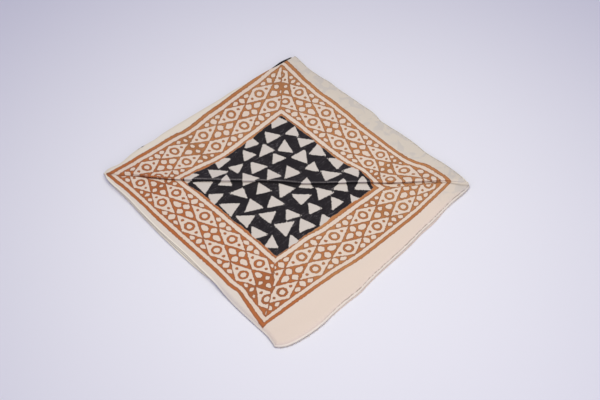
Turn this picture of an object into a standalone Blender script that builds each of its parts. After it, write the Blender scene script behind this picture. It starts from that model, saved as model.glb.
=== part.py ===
"""A folded ajrakh cloth: one printed cotton length, folded back and forth into a flat square.

Units are metres, +Z is up, and the stack rests on Z = 0 with the origin under its middle.
The cloth starts at a free end on top, on the +X side, runs to a fold on the -X side, and goes on
back and forth to a second free end at the bottom. The -Y and +Y sides show the layers' edges.
"""
import math
from collections import namedtuple

import bmesh
import bpy
from mathutils import Vector

MM = 0.001

# The cut cloth, and how it is folded
PANEL = 300 * MM
WIDTH = 300 * MM
LAYERS = 4
THICKNESS = 1.0 * MM
PITCH = 1.45 * MM

# Middle of the stack, seen from the middle of the printed square
STACK_MIDDLE = (12.89 * MM, 2.42 * MM)

# How finely the sheet is divided
TOP_STRIPS = 20
LOWER_STRIPS = 11
WIDTH_STRIPS = 24
FOLD_STRIPS = 6

# Distances in from the free edges of further cuts, for the corners and the hanging edges
EDGE_CUTS = (1.3 * MM, 2.8 * MM, 5.5 * MM)

# Over what distance the top layer bends down where its edge hangs
HANG_REACH = 5 * MM

# How suddenly a layer's straight run turns into its fold, and the angle from which an edge is sharp
FOLD_ONSET = 8
SHARP_ANGLE = math.radians(50)

# Share of a stack swell that each layer takes, from the top layer down
SWELL_SHARE = (1.0, 0.6, 0.3, 0.0)

# How near two cuts of the flat cloth may pass before they are joined: on a panel, and on a fold
SNAP = 0.4 * MM
FOLD_SNAP = 0.05 * MM

# Distance over which the sideways bow of the crease dies out, and the distance from the fold
# side over which the crease comes to pull the top layer sideways
BOW_REACH = 55 * MM
FOLD_HOLD = 22 * MM

# The tables below are in millimetres, seen from the middle of the printed square.

# -X side: outermost line of the two folds
FoldRow = namedtuple("FoldRow", "y upper_fold lower_fold")
FOLD_SIDE = (
    FoldRow(-150, -141.0, -144.0),
    FoldRow(-142, -141.8, -146.2),
    FoldRow(-128, -140.4, -144.0),
    FoldRow(-119, -141.0, -144.8),
    FoldRow(-108, -142.8, -147.0),
    FoldRow(-95, -144.0, -147.9),
    FoldRow(-72, -144.0, -147.0),
    FoldRow(-58, -144.4, -148.3),
    FoldRow(-10, -143.8, -147.8),
    FoldRow(32, -143.5, -147.0),
    FoldRow(50, -144.2, -147.6),
    FoldRow(70, -144.0, -146.5),
    FoldRow(105, -143.0, -145.0),
    FoldRow(120, -141.0, -144.8),
    FoldRow(134, -140.3, -145.4),
    FoldRow(150, -139.5, -143.5),
)

# +X side: the top layer's free end, the middle fold, the bottom layer's free end, and how far
# the top layer's end hangs down
CutRow = namedtuple("CutRow", "y top_end middle_fold bottom_end drop")
CUT_SIDE = (
    CutRow(-150, 160.8, 157.2, 158.2, 2.8),
    CutRow(-146, 164.8, 158.2, 161.6, 3.0),
    CutRow(-139, 168.8, 160.4, 166.0, 3.1),
    CutRow(-128, 171.8, 163.8, 169.6, 3.1),
    CutRow(-112, 173.8, 167.6, 172.0, 3.1),
    CutRow(-95, 174.2, 169.6, 173.0, 3.1),
    CutRow(-82, 172.8, 169.0, 173.2, 3.1),
    CutRow(-61, 171.4, 167.8, 172.6, 3.1),
    CutRow(-40, 171.4, 167.6, 172.8, 3.1),
    CutRow(-28, 169.7, 166.0, 171.0, 3.1),
    CutRow(-10, 167.9, 164.2, 169.2, 3.1),
    CutRow(10, 166.7, 163.0, 168.0, 3.1),
    CutRow(32, 165.3, 161.0, 166.8, 3.1),
    CutRow(50, 163.7, 158.8, 165.0, 3.1),
    CutRow(64, 161.9, 156.6, 163.2, 3.1),
    CutRow(82, 161.0, 155.2, 162.4, 3.1),
    CutRow(95, 160.0, 153.9, 160.6, 3.1),
    CutRow(112, 158.3, 151.8, 157.0, 3.1),
    CutRow(130, 156.7, 150.2, 155.2, 3.1),
    CutRow(150, 153.2, 147.6, 151.2, 3.0),
)

# -Y side: edge of each layer, and how far the top layer's edge hangs down
NearRow = namedtuple("NearRow", "x top second third bottom drop")
NEAR_SIDE = (
    NearRow(-150, -140.2, -139.6, -140.2, -140.2, 0.0),
    NearRow(-142, -141.4, -141.0, -141.6, -141.6, 0.0),
    NearRow(-133, -144.4, -143.6, -143.6, -143.6, 0.0),
    NearRow(-122, -145.4, -144.6, -144.8, -144.6, 0.0),
    NearRow(-108, -145.2, -144.6, -145.0, -144.6, 0.0),
    NearRow(-88, -144.8, -144.8, -145.4, -144.8, 0.0),
    NearRow(-62, -145.4, -146.2, -147.0, -146.6, 0.0),
    NearRow(-28, -146.3, -147.2, -148.4, -147.8, 0.0),
    NearRow(14, -145.8, -147.0, -148.6, -148.2, 0.0),
    NearRow(40, -146.6, -146.8, -147.8, -147.4, 0.0),
    NearRow(60, -146.6, -144.4, -145.4, -145.4, 1.4),
    NearRow(77, -148.0, -143.6, -145.0, -145.8, 3.0),
    NearRow(97, -149.0, -144.4, -145.4, -147.0, 3.1),
    NearRow(130, -148.8, -144.2, -145.4, -147.0, 3.1),
    NearRow(148, -148.8, -144.4, -145.6, -147.2, 3.1),
    NearRow(161, -151.2, -146.6, -147.6, -149.4, 3.0),
    NearRow(170, -152.0, -147.6, -148.6, -150.0, 3.0),
)

# +Y side: edge of each layer
FarRow = namedtuple("FarRow", "x top second third bottom")
FAR_SIDE = (
    FarRow(-150, 151.5, 150.0, 150.0, 150.0),
    FarRow(-138, 152.6, 150.2, 150.4, 150.0),
    FarRow(-125, 151.0, 149.5, 150.0, 149.5),
    FarRow(-110, 149.2, 149.0, 149.6, 149.0),
    FarRow(-90, 149.6, 149.0, 149.5, 149.0),
    FarRow(-73, 151.4, 150.0, 149.0, 150.0),
    FarRow(-60, 150.8, 149.5, 149.5, 149.5),
    FarRow(-45, 151.7, 150.5, 150.5, 149.5),
    FarRow(-25, 152.3, 150.5, 150.5, 149.5),
    FarRow(-4, 153.4, 150.5, 150.5, 149.5),
    FarRow(5, 152.4, 150.0, 150.5, 149.5),
    FarRow(15, 149.8, 149.0, 149.5, 149.5),
    FarRow(28, 150.3, 149.3, 149.5, 149.5),
    FarRow(45, 151.7, 150.0, 150.0, 149.5),
    FarRow(66, 152.9, 150.5, 150.5, 149.5),
    FarRow(88, 152.3, 151.0, 151.0, 149.5),
    FarRow(100, 153.6, 151.5, 150.5, 150.0),
    FarRow(112, 155.2, 152.5, 150.5, 150.0),
    FarRow(134, 155.6, 152.0, 150.0, 151.0),
    FarRow(146, 154.6, 150.0, 149.5, 150.0),
    FarRow(160, 148.6, 147.0, 147.0, 147.0),
)

# The crease across the top layer, from the -X -Y corner (0) to the +X +Y corner (1):
# how far it bows towards +Y, and how high it stands
CreaseRow = namedtuple("CreaseRow", "along bow height")
CREASE = (
    CreaseRow(0.00, 0.0, 0.0),
    CreaseRow(0.08, 1.0, 2.0),
    CreaseRow(0.13, -2.0, 3.0),
    CreaseRow(0.18, -4.0, 3.0),
    CreaseRow(0.26, -4.5, 2.3),
    CreaseRow(0.40, -2.0, 2.6),
    CreaseRow(0.55, -1.5, 2.8),
    CreaseRow(0.68, 1.0, 3.2),
    CreaseRow(0.82, 2.0, 2.8),
    CreaseRow(0.93, 3.0, 2.5),
    CreaseRow(1.00, 0.0, 2.2),
)

# Section through the crease: distance from its foot, measured on the flat cloth, then
# height as a share of the crease's own, and how far the cloth leans back over the foot
RidgeRow = namedtuple("RidgeRow", "offset height lean")
RIDGE = (
    RidgeRow(-14, 0.00, 0.0),
    RidgeRow(-3, 0.03, 0.0),
    RidgeRow(0, 0.12, -0.1),
    RidgeRow(2, 0.68, -1.1),
    RidgeRow(3.5, 1.00, -2.0),
    RidgeRow(6, 0.90, -2.3),
    RidgeRow(12, 0.48, -2.1),
    RidgeRow(22, 0.12, -1.5),
    RidgeRow(45, 0.00, -0.6),
    RidgeRow(80, 0.00, 0.0),
)
RIDGE_CUTS = (-14, -3, 0, 2, 3.5, 6, 12, 22)

# Soft swells: middle, reach each way, and height; all layers share those of the stack
SwellRow = namedtuple("SwellRow", "x y reach_x reach_y height")
STACK_SWELLS = (
    SwellRow(-128, -30, 26, 70, 0.7),
    SwellRow(-120, 118, 34, 30, 0.6),
    SwellRow(60, -132, 26, 24, 0.6),
    SwellRow(148, -112, 34, 46, 0.9),
    SwellRow(150, 40, 24, 60, 0.5),
)
TOP_SWELLS = (
    SwellRow(138, 138, 24, 22, 1.6),
    SwellRow(74, -138, 14, 20, 0.9),
    SwellRow(-72, 138, 26, 18, 0.9),
    SwellRow(52, 142, 24, 16, 0.8),
    SwellRow(112, -120, 26, 34, 0.7),
    SwellRow(-96, -126, 20, 16, 0.6),
    SwellRow(20, -40, 60, 30, 0.4),
    SwellRow(-50, 60, 46, 50, 0.5),
)

CREAM = (0.72, 0.66, 0.58, 1.0)
CLOTH_ROUGHNESS = 0.9


def clear_scene():
    for thing in list(bpy.data.objects):
        bpy.data.objects.remove(thing, do_unlink=True)


def blend(a, b, share):
    return a + (b - a) * share


def read_row(rows, column, station):
    """A column's value at a station, on a smooth line through the rows."""
    stations = [row[0] for row in rows]
    values = [getattr(row, column) for row in rows]
    last = len(rows) - 1
    if station <= stations[0]:
        return values[0]
    if station >= stations[last]:
        return values[last]
    i = max(k for k in range(last) if stations[k] <= station)

    def slope(k):
        low, high = max(k - 1, 0), min(k + 1, last)
        return (values[high] - values[low]) / (stations[high] - stations[low])

    gap = stations[i + 1] - stations[i]
    f = (station - stations[i]) / gap
    ease = f * f * (3 - 2 * f)
    leave = f * (1 - f) ** 2 * slope(i)
    arrive = f * f * (1 - f) * slope(i + 1)
    return blend(values[i], values[i + 1], ease) + gap * (leave - arrive)


def swell_height(rows, x, y):
    """Height of all the soft swells in a table at a place, in millimetres."""
    height = 0.0
    for row in rows:
        reach = ((x - row.x) / row.reach_x) ** 2 + ((y - row.y) / row.reach_y) ** 2
        height += row.height * math.exp(-reach)
    return height


# Which columns hold the two ends of a layer, from the top layer down
FOLD_ENDS = ("upper_fold", "upper_fold", "lower_fold", "lower_fold")
CUT_ENDS = ("top_end", "middle_fold", "middle_fold", "bottom_end")
EDGES = ("top", "second", "third", "bottom")


def crease_shift(flat_x, flat_y):
    """Sideways shift and height that the crease gives the top layer, in millimetres."""
    span = (PANEL + WIDTH) / MM
    along = 0.5 + (flat_x + flat_y) / span
    offset = (flat_y - flat_x) / math.sqrt(2)
    standing = read_row(CREASE, "height", along)
    bow = read_row(CREASE, "bow", along) * math.exp(-(offset * MM / BOW_REACH) ** 2)
    lean = read_row(RIDGE, "lean", offset) * standing / max(row.height for row in CREASE)
    from_fold = flat_x * MM + PANEL / 2
    free = 1 - math.exp(-(from_fold / FOLD_HOLD) ** 2)
    sideways = free * (bow + lean) / math.sqrt(2)
    return -sideways, sideways, standing * read_row(RIDGE, "height", offset)


def hang(drop, inside):
    """How far down a hanging edge has bent, at a distance in from it."""
    return drop * max(0.0, 1 - inside * MM / HANG_REACH) ** 2


def layer_point(layer, across, up):
    """Place on a layer: across is 0 at the fold side and 1 at the cut side, up is 0 at -Y and 1 at +Y."""
    flat_x = (across - 0.5) * PANEL / MM
    flat_y = (up - 0.5) * WIDTH / MM
    left = read_row(FOLD_SIDE, FOLD_ENDS[layer], flat_y)
    right = read_row(CUT_SIDE, CUT_ENDS[layer], flat_y)
    x = blend(left, right, across)
    near = read_row(NEAR_SIDE, EDGES[layer], x)
    far = read_row(FAR_SIDE, EDGES[layer], x)
    y = blend(near, far, up)
    rise = SWELL_SHARE[layer] * swell_height(STACK_SWELLS, x, y)
    if layer == 0:
        shift_x, shift_y, ridge = crease_shift(flat_x, flat_y)
        rise += swell_height(TOP_SWELLS, x, y) + ridge
        end_drop = hang(read_row(CUT_SIDE, "drop", flat_y), right - x)
        near_drop = hang(read_row(NEAR_SIDE, "drop", x), y - near)
        rise -= max(end_drop, near_drop)
        x += shift_x
        y += shift_y
    z = THICKNESS / 2 + (LAYERS - 1 - layer) * PITCH + rise * MM
    return Vector((x * MM - STACK_MIDDLE[0], y * MM - STACK_MIDDLE[1], z))


def fold_point(layer, turn, up):
    """Place on the fold between a layer and the one below it, turn running 0 to 1 round it."""
    end = layer % 2
    upper = layer_point(layer, end, up)
    lower = layer_point(layer + 1, end, up)
    outward = 1 if end else -1
    radius = (upper.z - lower.z) / 2
    point = upper.lerp(lower, turn)
    point.x += outward * radius * (math.sin(math.pi * turn) - 1)
    point.z = (upper.z + lower.z) / 2 + radius * math.cos(math.pi * turn)
    return point


def folded(s, t):
    """Where a point of the flat cloth lies once it is folded: s along the length, t across it."""
    up = t / WIDTH + 0.5
    half_fold = math.pi * PITCH / 4
    for fold in range(1, LAYERS):
        if abs(s - fold * PANEL) <= half_fold:
            turn = (s - fold * PANEL) / (2 * half_fold) + 0.5
            return fold_point(fold - 1, turn, up)
    layer = min(int(s / PANEL), LAYERS - 1)
    start = half_fold if layer > 0 else 0.0
    end = half_fold if layer < LAYERS - 1 else 0.0
    share = (s - layer * PANEL - start) / (PANEL - start - end)
    across = share if layer % 2 else 1 - share
    point = layer_point(layer, across, up)
    # The straight run stops short of the fold's outermost line by the fold's radius
    if layer < LAYERS - 1:
        point.x += (PITCH / 2) * share ** FOLD_ONSET * (1 if layer % 2 == 0 else -1)
    if layer > 0:
        point.x += (PITCH / 2) * (1 - share) ** FOLD_ONSET * (-1 if layer % 2 == 0 else 1)
    return point


def cut_across(mesh, place, normal, snap, low=-math.inf, high=math.inf):
    """Divide the flat cloth along a straight line, between two stations of its length."""
    faces = [f for f in mesh.faces if low <= f.calc_center_median().x <= high]
    edges = {e for f in faces for e in f.edges}
    verts = {v for f in faces for v in f.verts}
    bmesh.ops.bisect_plane(
        mesh, geom=faces + list(edges) + list(verts), dist=snap, plane_co=place, plane_no=normal)


def flat_cloth():
    """The cut cloth laid flat, divided where it will bend."""
    mesh = bmesh.new()
    length = LAYERS * PANEL
    bmesh.ops.create_grid(mesh, x_segments=LAYERS, y_segments=WIDTH_STRIPS, size=0.5)
    for vert in mesh.verts:
        vert.co = Vector(((vert.co.x + 0.5) * length, vert.co.y * WIDTH, 0))
    half_fold = math.pi * PITCH / 4
    stations = list(EDGE_CUTS)
    for layer in range(LAYERS):
        strips = LOWER_STRIPS if layer else TOP_STRIPS
        stations += [(layer + k / strips) * PANEL for k in range(1, strips)]
    for fold in range(1, LAYERS):
        start = fold * PANEL - half_fold
        stations += [start + 2 * half_fold * k / FOLD_STRIPS for k in range(FOLD_STRIPS + 1)]
    for station in stations:
        cut_across(mesh, (station, 0, 0), (1, 0, 0), FOLD_SNAP)
    for inside in EDGE_CUTS:
        cut_across(mesh, (0, inside - WIDTH / 2, 0), (0, 1, 0), FOLD_SNAP)
    cut_across(mesh, (0, WIDTH / 2 - EDGE_CUTS[-1], 0), (0, 1, 0), FOLD_SNAP)
    for offset in RIDGE_CUTS:
        place = (PANEL / 2 + offset * MM * math.sqrt(2), 0, 0)
        cut_across(mesh, place, (1, 1, 0), SNAP, high=PANEL - half_fold)
    return mesh


def shade(cloth):
    material = bpy.data.materials.new("block printed cotton")
    material.use_nodes = True
    surface = material.node_tree.nodes["Principled BSDF"]
    surface.inputs["Base Color"].default_value = CREAM
    surface.inputs["Roughness"].default_value = CLOTH_ROUGHNESS
    surface.inputs["Metallic"].default_value = 0.0
    cloth.data.materials.append(material)
    for face in cloth.data.polygons:
        face.use_smooth = True
    cloth.data.set_sharp_from_angle(angle=SHARP_ANGLE)


def make_cloth():
    mesh = flat_cloth()
    for vert in mesh.verts:
        vert.co = folded(vert.co.x, vert.co.y)
    bmesh.ops.recalc_face_normals(mesh, faces=mesh.faces)
    data = bpy.data.meshes.new("cloth")
    mesh.to_mesh(data)
    mesh.free()
    cloth = bpy.data.objects.new("cloth", data)
    shade(cloth)
    wall = cloth.modifiers.new("sheet", "SOLIDIFY")
    wall.thickness = THICKNESS
    wall.offset = 0.0
    wall.use_even_offset = True
    return cloth


def main():
    clear_scene()
    collection = bpy.data.collections.new("folded ajrakh cloth")
    bpy.context.scene.collection.children.link(collection)
    collection.objects.link(make_cloth())


main()
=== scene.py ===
"""The look of a folded, block printed ajrakh cloth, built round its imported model.

Metres, +Z up. The cloth is one thin sheet, folded back and forth in four layers. Its tables are
in millimetres, seen from the middle of the printed square on the top layer.
"""
import math
import random
from collections import namedtuple

import bmesh
import bpy
import numpy as np
from mathutils import Euler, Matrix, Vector, noise


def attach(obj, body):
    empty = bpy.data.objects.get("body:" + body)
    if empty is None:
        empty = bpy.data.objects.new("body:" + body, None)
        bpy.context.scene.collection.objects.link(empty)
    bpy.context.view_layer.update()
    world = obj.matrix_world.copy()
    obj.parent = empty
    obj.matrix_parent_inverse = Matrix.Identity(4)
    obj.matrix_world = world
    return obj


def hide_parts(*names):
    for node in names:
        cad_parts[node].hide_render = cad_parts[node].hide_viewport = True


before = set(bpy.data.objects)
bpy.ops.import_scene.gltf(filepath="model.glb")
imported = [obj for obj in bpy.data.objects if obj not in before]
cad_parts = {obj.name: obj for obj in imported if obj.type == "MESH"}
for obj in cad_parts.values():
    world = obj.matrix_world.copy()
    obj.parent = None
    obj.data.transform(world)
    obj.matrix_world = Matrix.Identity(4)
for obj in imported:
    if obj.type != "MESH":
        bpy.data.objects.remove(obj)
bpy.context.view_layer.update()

MM = 0.001


def rows_of(kind, rows):
    return tuple(kind(*row) for row in rows)


# The cut cloth and its folds
PANEL = 300.0
WIDTH = 300.0
LAYERS = 4
SHEET = 0.6
PITCH = 1.45
LOWEST = SHEET / 2
HALF_FOLD = math.pi * PITCH / 4

# How late along a layer its straight run is drawn back by the radius of the fold that it ends in
STOP_SHORT_POWER = 24

# Middle of the stack, seen from the middle of the printed square
STACK_MIDDLE = (12.89, 2.42)

# Fineness of the mesh
TOP_STRIPS = 140
LOWER_STRIPS = 30
WIDTH_STRIPS = 140
FOLD_STRIPS = 8
CUT_SNAP = 0.02
EDGE_CUTS = (0.6, 1.2, 1.8, 2.6, 3.4, 4.2, 5.2)

# How much of the stack's swelling each layer takes, from the top down
SWELL_SHARE = (1.0, 0.6, 0.3, 0.0)

# How far in from a free edge the cloth bends down
HANG_REACH = 5.0

# The stack's outline, side by side: where each layer ends, and how far its edge droops
FoldRow = namedtuple("FoldRow", "y upper_fold lower_fold")
FOLD_SIDE = rows_of(FoldRow, (
    (-150, -141.0, -144.0), (-142, -141.8, -146.2), (-128, -140.4, -144.0), (-119, -141.0, -144.8),
    (-108, -142.8, -147.0), (-95, -144.0, -147.9), (-72, -144.0, -147.0), (-58, -144.4, -148.3),
    (-10, -143.8, -147.8), (32, -143.5, -147.0), (50, -144.2, -147.6), (70, -144.0, -146.5),
    (105, -143.0, -145.0), (120, -141.0, -145.4), (134, -140.3, -146.4), (150, -139.5, -144.0),
))
CutRow = namedtuple("CutRow", "y top_end middle_fold bottom_end drop")
CUT_SIDE = rows_of(CutRow, (
    (-150, 160.8, 157.2, 158.2, 3.5), (-146, 164.8, 158.2, 161.6, 3.6),
    (-139, 168.8, 160.4, 166.0, 3.7), (-128, 171.8, 163.8, 169.6, 3.7),
    (-112, 173.8, 167.6, 172.0, 3.7), (-95, 174.2, 169.6, 173.0, 3.7),
    (-82, 172.8, 169.0, 173.2, 3.7), (-61, 171.4, 167.8, 172.6, 3.7),
    (-40, 171.4, 167.6, 172.8, 3.7), (-28, 169.7, 166.0, 171.0, 3.7),
    (-10, 167.9, 164.2, 169.2, 3.7), (10, 166.7, 163.0, 168.0, 3.7), (32, 165.3, 161.0, 166.8, 3.7),
    (50, 163.7, 158.8, 165.0, 3.7), (64, 161.9, 156.6, 163.2, 3.7), (82, 161.0, 155.2, 162.4, 3.7),
    (95, 160.0, 153.9, 160.6, 3.7), (112, 158.3, 151.8, 157.0, 3.7),
    (130, 156.7, 150.2, 155.2, 3.7), (150, 153.2, 147.6, 151.2, 3.6),
))
NearRow = namedtuple("NearRow", "x top second third bottom drop")
NEAR_SIDE = rows_of(NearRow, (
    (-150, -140.2, -139.6, -140.2, -140.2, 0.0), (-142, -141.4, -141.0, -141.6, -141.6, 0.0),
    (-133, -144.4, -143.6, -143.6, -143.6, 0.0), (-122, -145.4, -144.6, -144.8, -144.6, 0.0),
    (-108, -145.2, -144.6, -145.0, -144.6, 0.0), (-88, -144.8, -144.8, -145.4, -144.8, 0.0),
    (-62, -145.4, -146.2, -147.0, -146.6, 0.0), (-28, -146.3, -147.2, -148.4, -147.8, 0.0),
    (14, -145.8, -147.0, -148.6, -148.2, 0.0), (40, -146.6, -146.8, -147.8, -147.4, 0.0),
    (60, -146.6, -144.4, -145.4, -145.4, 1.4), (77, -148.0, -143.6, -145.0, -145.8, 3.6),
    (97, -149.0, -144.4, -145.4, -147.0, 3.6), (130, -148.8, -144.2, -145.4, -147.0, 3.6),
    (148, -148.8, -144.4, -145.6, -147.2, 3.6), (161, -151.2, -146.6, -147.6, -149.4, 3.6),
    (170, -152.0, -147.6, -148.6, -150.0, 3.6),
))
FarRow = namedtuple("FarRow", "x top second third bottom")
FAR_SIDE = rows_of(FarRow, (
    (-150, 151.5, 150.0, 150.0, 150.0), (-138, 152.6, 150.2, 150.4, 150.0),
    (-125, 151.0, 149.5, 150.0, 149.5), (-110, 149.2, 149.0, 149.6, 149.0),
    (-90, 149.6, 149.0, 149.5, 149.0), (-73, 151.4, 150.0, 149.0, 150.0),
    (-60, 150.8, 149.5, 149.5, 149.5), (-45, 151.7, 150.5, 150.5, 149.5),
    (-25, 152.3, 150.5, 150.5, 149.5), (-4, 153.4, 150.5, 150.5, 149.5),
    (5, 152.4, 150.0, 150.5, 149.5), (15, 149.8, 149.0, 149.5, 149.5),
    (28, 150.3, 149.3, 149.5, 149.5), (45, 151.7, 150.0, 150.0, 149.5),
    (66, 152.9, 150.5, 150.5, 149.5), (88, 152.3, 151.0, 151.0, 149.5),
    (100, 153.6, 151.5, 150.5, 150.0), (112, 155.2, 152.5, 150.5, 150.0),
    (134, 155.6, 152.0, 150.0, 151.0), (146, 154.6, 150.0, 149.5, 150.0),
    (160, 148.6, 147.0, 147.0, 147.0),
))

# How far the crease's bow reaches aside, and how far in from the fold the crease is held
BOW_REACH = 55.0
FOLD_HOLD = 13.0

# The crease across the top layer, from the -X -Y corner (0) to the +X +Y corner (1)
CreaseRow = namedtuple("CreaseRow", "along bow height")
CREASE = rows_of(CreaseRow, (
    (0.00, 0.0, 0.0), (0.08, 1.0, 2.0), (0.13, -2.0, 3.0), (0.18, -4.0, 3.0), (0.26, -4.5, 2.3),
    (0.40, -2.0, 2.6), (0.55, -1.5, 2.8), (0.68, 1.0, 3.2), (0.82, 2.0, 2.8), (0.93, 3.0, 2.5),
    (1.00, 0.0, 2.2),
))

# The crease bends aside just before the +X +Y corner, without moving the cloth's edges
BendRow = namedtuple("BendRow", "along bend")
CORNER_BEND = rows_of(BendRow, (
    (0.84, 0.0), (0.92, -2.2), (0.965, -4.6), (1.00, -1.5),
))
BEND_REACH = 9.0

# Section across the crease: distance from its foot, share of its height, and lean back over the foot
RidgeRow = namedtuple("RidgeRow", "offset height lean")
RIDGE = rows_of(RidgeRow, (
    (-14, 0.00, 0.0), (-1, 0.00, 0.0), (1.0, 0.02, -0.1), (2.0, 0.10, -0.45), (2.8, 0.26, -1.05),
    (3.6, 0.44, -2.25), (4.6, 0.62, -4.15), (5.5, 0.75, -5.85), (6.4, 0.90, -6.95),
    (7.4, 1.01, -7.6), (8.6, 1.04, -7.85), (10.5, 0.94, -7.95), (16, 0.44, -7.4), (24, 0.10, -6.2),
    (45, 0.00, -3.0), (80, 0.00, 0.0),
))
RIDGE_CUTS = (
    -9, -6, -4, -2.4, -1.2, -0.4, 0.3, 0.8, 1.2, 1.6, 2, 2.4, 2.8, 3.2, 3.6, 4.1, 4.6, 5.1, 5.6, 6, 6.4,
    6.9, 7.4, 8, 8.6, 9.5, 10.5, 13)
RIDGE_SNAP = 0.15
RIDGE_BAND = 6.0

# Where the crease's lit top gets a painted highlight and its foot a painted shadow, as distances across
# it on the flat cloth
CREST_AT = 7.3
CREST_REACH = 0.8
FOOT_AT = -0.4
FOOT_REACH = 1.0

# Soft swellings of the whole stack, and of the top layer alone
SwellRow = namedtuple("SwellRow", "x y reach_x reach_y height")
STACK_SWELLS = rows_of(SwellRow, (
    (-128, -30, 26, 70, 0.7), (-120, 118, 34, 30, 0.6), (60, -132, 26, 24, 0.6),
    (148, -112, 34, 46, 0.9), (150, 40, 24, 60, 0.5),
))
TOP_SWELLS = rows_of(SwellRow, (
    (138, 138, 24, 22, 1.6), (74, -138, 14, 20, 0.9), (-72, 138, 26, 18, 0.9),
    (52, 142, 24, 16, 0.8), (112, -120, 26, 34, 0.7), (-96, -126, 20, 16, 0.6),
    (20, -40, 60, 30, 0.4), (-50, 60, 46, 50, 0.5),
))

# Fine unevenness of the top layer
RippleRow = namedtuple("RippleRow", "height size seed")
RIPPLES = rows_of(RippleRow, (
    (0.16, 26.0, 3.0),
    (0.07, 9.0, 8.0),
))

# Soft troughs and ridges pressed into the top layer, each from one point to another
PressRow = namedtuple("PressRow", "x0 y0 x1 y1 width height")
PRESSES = rows_of(PressRow, (
    (60, -152, 112, -136, 4.0, 0.45), (96, -152, 150, -146, 3.0, -0.35),
    (150, -150, 168, -96, 5.0, 0.40), (-140, 10, -60, 20, 5.0, 0.18),
    (-30, 150, -18, 118, 4.0, 0.35), (24, 150, 40, 124, 5.0, 0.40), (84, 152, 92, 128, 4.0, -0.35),
    (-96, 148, -84, 126, 4.0, 0.30), (150, -30, 168, 30, 7.0, 0.30),
    (-60, -142, -30, -132, 4.0, 0.25),
))

# How the printing lies on the cloth: the border's outer and inner line along each side
PrintRow = namedtuple("PrintRow", "station outer inner")
PRINT_FOLD = rows_of(PrintRow, (
    (-139, -139.2, -70.0), (-120, -136.8, -70.0), (-95, -136.6, -70.0), (-64, -135.3, -69.5),
    (-43, -134.8, -66.0), (-37, -132.9, -65.0), (-20, -133.6, -63.8), (0, -136.4, -64.8),
    (30, -138.7, -67.0), (60, -141.7, -69.5), (75, -142.8, -70.0), (90, -144.0, -70.5),
    (104, -146.3, -70.0), (114, -148.0, -70.0), (124, -149.6, -70.0), (136, -151.0, -70.0),
))
PRINT_CUT = rows_of(PrintRow, (
    (-136, 138.0, 77.5), (-89, 139.4, 77.5), (-51, 140.6, 78.5), (-32, 142.5, 78.5),
    (-14, 144.4, 81.8), (35, 144.4, 82.3), (72, 143.8, 83.5), (110, 140.5, 84.0),
    (136, 138.0, 84.0),
))
PRINT_NEAR = rows_of(PrintRow, (
    (-139, -142.0, -80.5), (-120, -140.8, -80.5), (-104, -139.8, -80.5), (-70, -139.1, -80.5),
    (-39, -139.3, -78.0), (10, -138.8, -76.4), (47, -138.0, -75.2), (76, -139.5, -75.0),
    (86, -137.8, -75.0), (92, -138.4, -75.0), (99, -140.2, -75.0), (118, -143.7, -75.0),
    (137, -146.3, -75.0),
))
PRINT_FAR = rows_of(PrintRow, (
    (-136, 139.5, 66.0), (-107, 135.0, 66.0), (-70, 131.3, 66.5), (-44, 132.4, 67.0),
    (-17, 131.3, 67.0), (9, 129.5, 66.5), (32, 129.0, 68.0), (48, 128.6, 71.5), (58, 128.8, 73.0),
    (70, 129.7, 71.0), (80, 130.8, 68.0), (87, 133.0, 68.0), (98, 138.0, 69.0), (106, 139.8, 70.0),
    (118, 140.0, 72.0), (137, 137.9, 74.0),
))

# How close the border's outer stripe and gap were set on each side, as a share of their measure
SideShare = namedtuple("SideShare", "fold cut near far")
OUTER_LINES = SideShare(1.0, 0.86, 0.91, 0.96)

# Middles of the repeats along each side, as the block was set down
RepeatRow = namedtuple("RepeatRow", "number fold cut near far")
REPEATS = rows_of(RepeatRow, (
    (0, -101.0, -103.5, -100.5, -124.5), (1, -62.0, -57.5, -62.5, -87.5),
    (2, -21.5, -12.5, -14.2, -38.7), (3, 25.0, 31.3, 30.8, 7.5), (4, 73.0, 72.5, 75.5, 53.7),
    (5, 121.5, 117.0, 115.0, 88.0), (6, 165.0, 162.0, 160.0, 136.0),
))

# How far the inner diamonds of the fold side lie behind the outer ones, halved
REPEAT_SLANT = 1.85

# Places where one setting of the block ran over another
OverprintRow = namedtuple("OverprintRow", "x y reach_x reach_y strength")
OVERPRINTS = rows_of(OverprintRow, (
    (-101, -41, 32, 7, 1.0), (94, -116, 8, 24, 0.9), (-82, -112, 7, 22, 0.6),
    (-81, -101, 5, 12, 0.6), (-141, -140, 8, 6, 1.0), (73, 104, 6, 30, 0.9), (112, 52, 28, 6, 0.7),
    (112, -114, 16, 16, 1.0), (-112, 108, 16, 14, 0.9),
))

# The border: half widths of the printed square and its black ground, then its lines from outside in
OUTER_HALF = 138.0
INNER_HALF = 74.0
STRIPE_END = 4.7
GAP_END = 9.1
LATTICE_START = 10.3
LATTICE_END = 54.0
INNER_GAP_START = 55.1
INNER_GAP_END = 59.7
REPEAT_LENGTH = 45.5
BLACK_OVERLAP = 1.7
CUT_SIDE_LAG = 1.8
ROW_WIDTH = (LATTICE_END - LATTICE_START) / 2

# Slips of the printing: slow and quick waver, lap and bare line at a corner, and ragged ink
SLOW_WAVER = 1.4
QUICK_WAVER = 1.8
CORNER_LAP = 5.0
CORNER_LINE = 1.1
RAGGED_INK = 2.1

# The lattice's shapes: the diamond's line, its ring and dots, and how square its petals are
DIAMOND_LINE = 0.6
RING_RADIUS = 4.7
RING_HALF_WIDTH = 1.5
DOT_PLACE = 11.4
DOT_RADIUS = 1.8
PETAL_POWER = 1.5
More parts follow.
